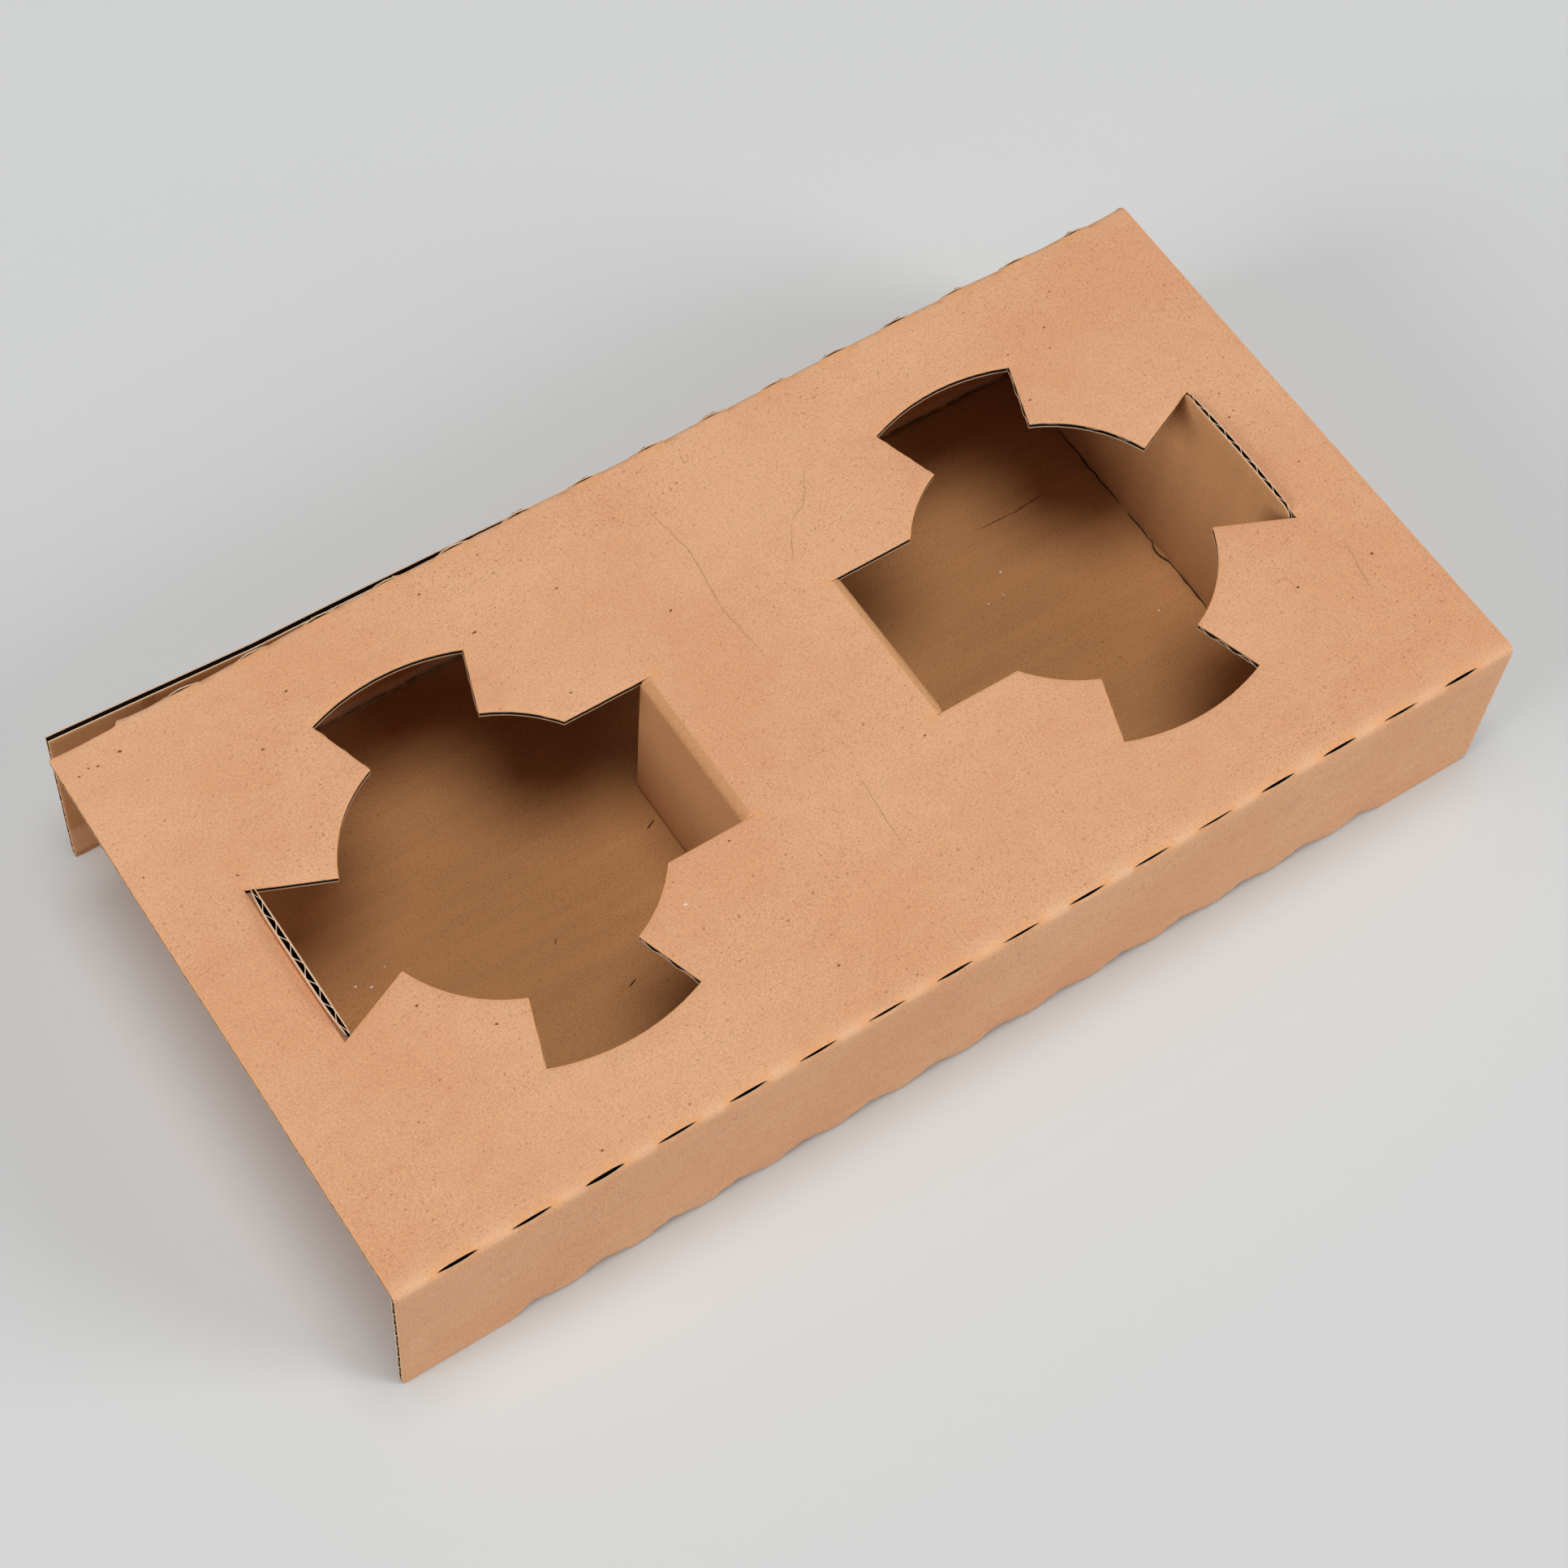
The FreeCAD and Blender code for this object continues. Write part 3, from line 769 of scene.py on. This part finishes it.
def specks(n, spacing, share, radius, shift, stretch=(1.0, 1.0)):
    """Grains with radii from radius / 2 to radius, in a share of the cells spacing wide."""
    scale = (stretch[0] / spacing, stretch[1] / spacing, 1.0)
    cells = n.add("ShaderNodeTexVoronoi", {"Vector": n.flat(scale, shift), "Scale": 1.0,
                                           "Randomness": 0.8}, voronoi_dimensions="2D")
    number = n.add("ShaderNodeSeparateColor", {"Color": cells.outputs["Color"]})
    chosen = n.span(number.outputs[0], share, share * 0.6)
    reach = n.span(number.outputs[1], 0.0, 1.0, radius / spacing / 2, radius / spacing)
    ratio = n.math("DIVIDE", cells.outputs["Distance"], reach)
    return n.math("MULTIPLY", n.span(ratio, 1.0, 0.4), chosen)


def fibres(n, length, width, threshold, shift, slant):
    """Short hairs: stretched noise, kept only at its peaks."""
    uv = n.flat((1.0, 1.0, 1.0), shift)
    turned = n.add("ShaderNodeVectorRotate", {"Vector": uv, "Angle": slant},
                   rotation_type="Z_AXIS").outputs[0]
    bent = n.add("ShaderNodeTexNoise", {"Vector": turned, "Scale": 0.35, "Detail": 1.0},
                 noise_dimensions="2D")
    sway = n.vector("MULTIPLY", bent.outputs["Color"], (1.6, 1.6, 0.0))
    squeezed = n.vector("MULTIPLY", n.vector("ADD", turned, sway), (1 / length, 1 / width, 1.0))
    grain = n.add("ShaderNodeTexNoise", {"Vector": squeezed, "Scale": 1.0, "Detail": 1.0},
                  noise_dimensions="2D")
    return n.span(grain.outputs["Fac"], threshold, threshold + 0.06)


def kraft_material(name, finish, face, cloud, streak):
    """Face of a liner: clouded brown paper, fibres, specks, scuffed folds; painted shade, painted
    light, painted glow at cuts.
    """
    n = Nodes(name)
    clouds = n.noise((0.022, 0.030, 1.0), 2.0)
    patches = n.noise((0.20, 0.26, 1.0), 3.0, (7, 3, 0))
    grain = n.noise((1.9, 2.6, 1.0), 3.0, (1, 9, 0))
    fine = n.noise((5.0, 5.0, 1.0), 2.0, (5, 2, 0))
    tone = n.math("ADD", n.math("MULTIPLY", clouds, 0.7), n.math("MULTIPLY", patches, 0.3))
    base = n.blend(n.span(tone, 0.36, 0.64), face, cloud)
    # Painted shade: the hanging lobes' outside and the liners' hidden sides take the inside colour.
    base = n.blend(n.attribute("shaded"), base, finish.inside)
    mottle = n.math("ADD", n.span(grain, 0.25, 0.75, 0.88, 1.10),
                    n.span(fine, 0.3, 0.7, -0.08, 0.08))
    streaks = n.noise((0.02, 0.24, 1.0), 3.0, (4, 4, 0))
    mottle = n.math("ADD", mottle, n.span(streaks, 0.3, 0.7, -streak, streak))
    base = n.scaled(base, mottle)
    hairs = n.math("MAXIMUM", fibres(n, 1.5, 0.20, 0.70, (3, 8, 0), 0.5),
                   fibres(n, 1.2, 0.18, 0.71, (31, 4, 0), -0.9))
    crowd = n.span(n.noise((0.03, 0.04, 1.0), 2.0, (2, 6, 0)), 0.35, 0.65, 0.5, 1.0)
    dirt = n.math("MULTIPLY", hairs, 0.5)
    for spacing, share, radius, strength in ((0.8, 0.28, 0.26, 0.42), (1.9, 0.20, 0.36, 0.60),
                                             (7.0, 0.30, 0.44, 0.75)):
        grains = specks(n, spacing, share, radius, (spacing, 4, 0), (1.0, 1.3))
        dirt = n.math("MAXIMUM", dirt, n.math("MULTIPLY", grains, strength))
    base = n.blend(n.math("MULTIPLY", dirt, crowd), base, finish.fibre)
    # Fold scuffing, painted light on the inner walls and a painted highlight on the hinges all
    # lighten the paper here.
    base = n.blend(n.math("MULTIPLY", n.attribute("wear"), 0.6), base, finish.worn_and_painted_light)
    # Painted glow of light through the thin board beside each cut.
    base = n.blend(n.math("MULTIPLY", n.attribute("cut_edge"), 0.7), base, finish.edge)
    height = n.math("ADD", n.math("MULTIPLY", grain, 0.7), n.math("MULTIPLY", fine, 0.3))
    return n.finish(n.dimmed(base), height, 0.05, finish.roughness)


def cut_material(finish):
    """Raw cut of the paper, shared by all sheets: pale fibres with darker pulled ones."""
    if "kraft_cut" in bpy.data.materials:
        return bpy.data.materials["kraft_cut"]
    n = Nodes("kraft_cut")
    strands = n.noise((1.8, 1.8, 1.0), 3.0)
    fine = n.noise((9.0, 9.0, 1.0), 2.0, (3, 5, 0))
    paper = n.blend(n.span(strands, 0.35, 0.68), finish.cut, finish.kraft)
    return n.finish(paper, fine, 0.08, 0.9)


def medium_material(finish):
    """The fluting: the same paper, a little duller, with painted shade far in the board."""
    n = Nodes("kraft_fluting")
    strands = n.noise((1.2, 2.2, 1.0), 3.0)
    paper = n.blend(n.span(strands, 0.3, 0.7), finish.kraft, finish.cloud)
    return n.finish(n.dimmed(paper), strands, 0.05, 0.9)


# Operators


class CARRIER_OT_liners(bpy.types.Operator):
    """Adds the outer and the inner liner, folded from the flat blank"""

    bl_idname = "carrier.liners"
    bl_label = "Liners"

    def execute(self, context):
        scene = context.scene
        blank = Blank(scene.carrier_board, scene.carrier_cuts)
        finish = scene.carrier_finish
        cut = cut_material(finish)
        outside = kraft_material("kraft_outside", finish, finish.kraft, finish.cloud, 0.01)
        # The inner liner's darker colour is partly painted shade of the sleeve's inside.
        inside = kraft_material("kraft_inside", finish, finish.inside, finish.inside_cloud, 0.05)
        rows, columns = fold_rows(blank, 3.6), fold_columns(blank, 3.6)
        sheet = flat_mesh(blank, rows, columns, 0.9, False)
        for name, outer, buried, face in (
                ("outer_liner", 0.0, (0, 1), outside),
                ("inner_liner", blank.board - blank.liner, (1, 0), inside)):
            depth = np.full(len(sheet[0]), outer)
            make_sheet(name, blank, sheet, depth, depth + blank.liner, buried, (face, cut))
        return {"FINISHED"}


class CARRIER_OT_medium(bpy.types.Operator):
    """Adds the wavy medium between the liners"""

    bl_idname = "carrier.medium"
    bl_label = "Fluted medium"

    def execute(self, context):
        scene = context.scene
        blank = Blank(scene.carrier_board, scene.carrier_cuts)
        finish = scene.carrier_finish
        face = medium_material(finish)
        cut = cut_material(finish)
        blank.s_raw -= MEDIUM_ENDS_BELOW
        rows = list(np.arange(0.2, blank.s_raw, blank.flute_pitch / 10))
        columns = fold_columns(blank, 12.0)
        flat, faces, near, deep = flat_mesh(blank, rows, columns, 0.5, True, MEDIUM_RECEDES)
        depth, thick = flute_depths(blank, flat[:, 1])
        piece = make_sheet("medium", blank, (flat, faces, near * 0, deep), depth - thick,
                           depth + thick, (1, 1), (face, cut))
        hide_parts(NODE)
        return {"FINISHED"}


def flute_depths(blank, s):
    """Depth of the medium's middle and half its thickness measured through the board."""
    middle = blank.board / 2
    swing = middle - blank.liner - blank.medium / 2
    wave = 2 * np.pi * s / blank.flute_pitch
    crushed = np.ones(len(s))
    for low, high in blank.folds:
        crushed = np.minimum(crushed, ramp(np.abs(s - (low + high) / 2), 1.0, 2.6))
    slope = np.abs(np.sin(wave)) * swing * 2 * np.pi / blank.flute_pitch * crushed
    return middle + swing * np.cos(wave) * crushed, blank.medium / 2 * np.sqrt(1 + slope ** 2)


def mark_material(name, rgb):
    """A stain, a scratch, loose dust or painted shade along a crease, uneven in tone."""
    n = Nodes(name)
    mottle = n.noise((3.0, 3.0, 1.0), 2.0)
    tone = n.blend(n.span(mottle, 0.35, 0.65), [c * 0.8 for c in rgb], [c * 1.15 for c in rgb])
    return n.finish(tone, mottle, 0.03, 0.9)


def spot_shape(x, y, radius, seed):
    """An uneven round outline, as (x, y) points with the middle first."""
    points = [(x, y)]
    for k in range(9):
        turn = 2 * math.pi * k / 9
        reach = 0.85 * radius * (1 + noise.noise(Vector((math.cos(turn), math.sin(turn), seed))))
        points.append((x + 1.25 * reach * math.cos(turn), y + 0.8 * reach * math.sin(turn)))
    return points, [(0, k + 1, (k + 1) % 9 + 1) for k in range(9)]


def line_shape(path, width, seed):
    """A line through the path's points, wide at its middle, pointed and a little unsteady."""
    legs = np.array(path, float)
    reach = np.concatenate([[0], np.cumsum(np.hypot(*np.diff(legs, axis=0).T))])
    count = max(4, int(reach[-1] / 0.8))
    t = np.linspace(0, reach[-1], count + 1)
    x, y = np.interp(t, reach, legs[:, 0]), np.interp(t, reach, legs[:, 1])
    sway = wander(x, y, 2.5, seed) * 0.30
    side = np.stack([-np.gradient(y), np.gradient(x)], 1)
    side /= np.linalg.norm(side, axis=1)[:, None]
    uneven = 1 + 0.6 * wander(x, y, 1.5, seed + 5)
    half = (width / 2 * np.sqrt(np.clip(np.sin(np.pi * t / reach[-1]), 0.02, 1)) * uneven)[:, None]
    middle = np.stack([x, y], 1) + side * sway[:, None]
    points = np.concatenate([middle - half * side, middle + half * side]).tolist()
    n = count + 1
    return points, [(k, k + 1, n + k + 1, n + k) for k in range(count)]


class CARRIER_OT_marks(bpy.types.Operator):
    """Adds specks, scratches, loose dust, gouges and the torn crease, whose dark line is painted
    shade
    """

    bl_idname = "carrier.marks"
    bl_label = "Marks of use"

    def execute(self, context):
        scene = context.scene
        blank = Blank(scene.carrier_board, scene.carrier_cuts)
        finish = scene.carrier_finish
        stain = mark_material("stain", [c * 0.9 for c in finish.fibre])
        scratch = mark_material("scratch", [c * 0.74 for c in finish.kraft])
        # Dark lines: gouges in the floor, and painted shade along the torn end crease.
        gouge = mark_material("gouge", (0.070, 0.026, 0.008))
        dust = mark_material("dust", (0.80, 0.74, 0.64))
        for name, inner, material, shape, places, seed in (
                ("top_specks", False, stain, spot_shape, TOP_SPECKS, 0),
                ("top_scratches", False, scratch, line_shape, TOP_SCRATCHES, 0),
                ("top_dust", False, dust, spot_shape, TOP_DUST, 50),
                ("floor_gouges", True, gouge, line_shape, FLOOR_GOUGES_AND_CREASE_SHADE, 20),
                ("floor_dust", True, dust, spot_shape, FLOOR_DUST, 60)):
            shapes = [shape(*place, seed + k) for k, place in enumerate(places)]
            self.add(blank, name, inner, material, shapes)
        return {"FINISHED"}

    def add(self, blank, name, inner, material, shapes):
        """Adds a group of marks just off the floor's inner face or the top's outer one."""
        points, faces = [], []
        for shape, polygons in shapes:
            start = len(points)
            points += shape
            faces += [[start + k for k in polygon] for polygon in polygons]
        x, y = np.array(points, float).T
        s = blank.floor_s(y) if inner else blank.top_s(y)
        depth = blank.board + MARK_LIFT if inner else -MARK_LIFT
        placed = blank.place(x, s, np.full(len(x), depth))
        make_object(name, placed, faces, np.stack([x, s], 1), (material,),
                    np.zeros(len(faces), np.int32), {})


class CARRIER_OT_stage(bpy.types.Operator):
    """Adds the pale floor, the soft light and the camera"""

    bl_idname = "carrier.stage"
    bl_label = "Stage"

    def execute(self, context):
        scene = context.scene
        settings = scene.carrier_stage
        self.add_floor(scene, settings)
        self.add_light(scene, settings)
        self.add_camera(scene)
        scene.view_settings.view_transform = "Standard"
        return {"FINISHED"}

    def add_floor(self, scene, settings):
        mesh = bpy.data.meshes.new("table")
        r = TABLE_REACH
        mesh.from_pydata([(-r, -r, 0), (r, -r, 0), (r, r, 0), (-r, r, 0)], [], [(0, 1, 2, 3)])
        material = bpy.data.materials.new("table")
        material.use_nodes = True
        shader = material.node_tree.nodes["Principled BSDF"]
        shader.inputs["Base Color"].default_value = (*settings.table, 1.0)
        shader.inputs["Roughness"].default_value = 0.9
        mesh.materials.append(material)
        table = bpy.data.objects.new("table", mesh)
        scene.collection.objects.link(table)

    def add_light(self, scene, settings):
        world = bpy.data.worlds.new("studio")
        world.use_nodes = True
        nodes, links = world.node_tree.nodes, world.node_tree.links
        background = nodes["Background"]
        background.inputs["Color"].default_value = (1.0, 1.0, 1.0, 1.0)
        path = nodes.new("ShaderNodeLightPath")
        seen = path.outputs["Is Camera Ray"]
        for ray in ("Is Glossy Ray", "Is Transmission Ray"):
            either = nodes.new("ShaderNodeMath")
            either.operation = "MAXIMUM"
            links.new(seen, either.inputs[0])
            links.new(path.outputs[ray], either.inputs[1])
            seen = either.outputs[0]
        strength = nodes.new("ShaderNodeMapRange")
        links.new(seen, strength.inputs["Value"])
        strength.inputs["To Min"].default_value = settings.sky
        strength.inputs["To Max"].default_value = settings.backdrop
        links.new(strength.outputs[0], background.inputs["Strength"])
        scene.world = world
        for name, place in LAMPS.items():
            light = bpy.data.lights.new(name, "AREA")
            light.shape = "DISK"
            light.size = LAMP_WIDTH
            light.energy = getattr(settings, name)
            lamp = bpy.data.objects.new(name, light)
            lamp.visible_camera = False
            lamp.location = place
            lamp.rotation_euler = Vector(place).to_track_quat("Z", "Y").to_euler()
            scene.collection.objects.link(lamp)

    def add_camera(self, scene):
        azimuth, elevation, roll = (math.radians(turn) for turn in CAMERA_TURNS)
        back = Vector((math.sin(azimuth) * math.cos(elevation),
                       -math.cos(azimuth) * math.cos(elevation), math.sin(elevation)))
        right = Vector((math.cos(azimuth), math.sin(azimuth), 0.0))
        down = (-back).cross(right)
        c, s = math.cos(roll), math.sin(roll)
        x_axis = right * c - down * s
        y_axis = -(right * s + down * c)
        data = bpy.data.cameras.new("camera")
        data.lens = CAMERA_LENS
        data.sensor_width = 36.0
        data.clip_start = 0.01
        camera = bpy.data.objects.new("camera", data)
        turned = Matrix((x_axis, y_axis, back)).transposed().to_4x4()
        camera.matrix_world = Matrix.Translation(CAMERA_PLACE) @ turned
        scene.collection.objects.link(camera)
        scene.camera = camera


class CARRIER_PT_panel(bpy.types.Panel):
    """Sizes, colours and pieces of the carrier"""

    bl_idname = "CARRIER_PT_panel"
    bl_label = "Cup carrier"
    bl_space_type = "VIEW_3D"
    bl_region_type = "UI"
    bl_category = "Carrier"

    def draw(self, context):
        for group in GROUPS:
            box = self.layout.box()
            settings = getattr(context.scene, group)
            for key in settings.__annotations__:
                box.prop(settings, key)
        for operator in OPERATORS:
            self.layout.operator(operator.bl_idname)


GROUPS = {
    "carrier_board": BoardSettings,
    "carrier_cuts": CutSettings,
    "carrier_finish": FinishSettings,
    "carrier_stage": StageSettings,
}
OPERATORS = (CARRIER_OT_liners, CARRIER_OT_medium, CARRIER_OT_marks, CARRIER_OT_stage)
CLASSES = (*GROUPS.values(), *OPERATORS, CARRIER_PT_panel)


def register():
    for cls in CLASSES:
        bpy.utils.register_class(cls)
    for name, group in GROUPS.items():
        setattr(bpy.types.Scene, name, PointerProperty(type=group))


def unregister():
    for name in GROUPS:
        delattr(bpy.types.Scene, name)
    for cls in reversed(CLASSES):
        bpy.utils.unregister_class(cls)


def main():
    register()
    bpy.ops.carrier.liners()
    bpy.ops.carrier.medium()
    bpy.ops.carrier.marks()
    bpy.ops.carrier.stage()


if __name__ == "__main__":
    main()
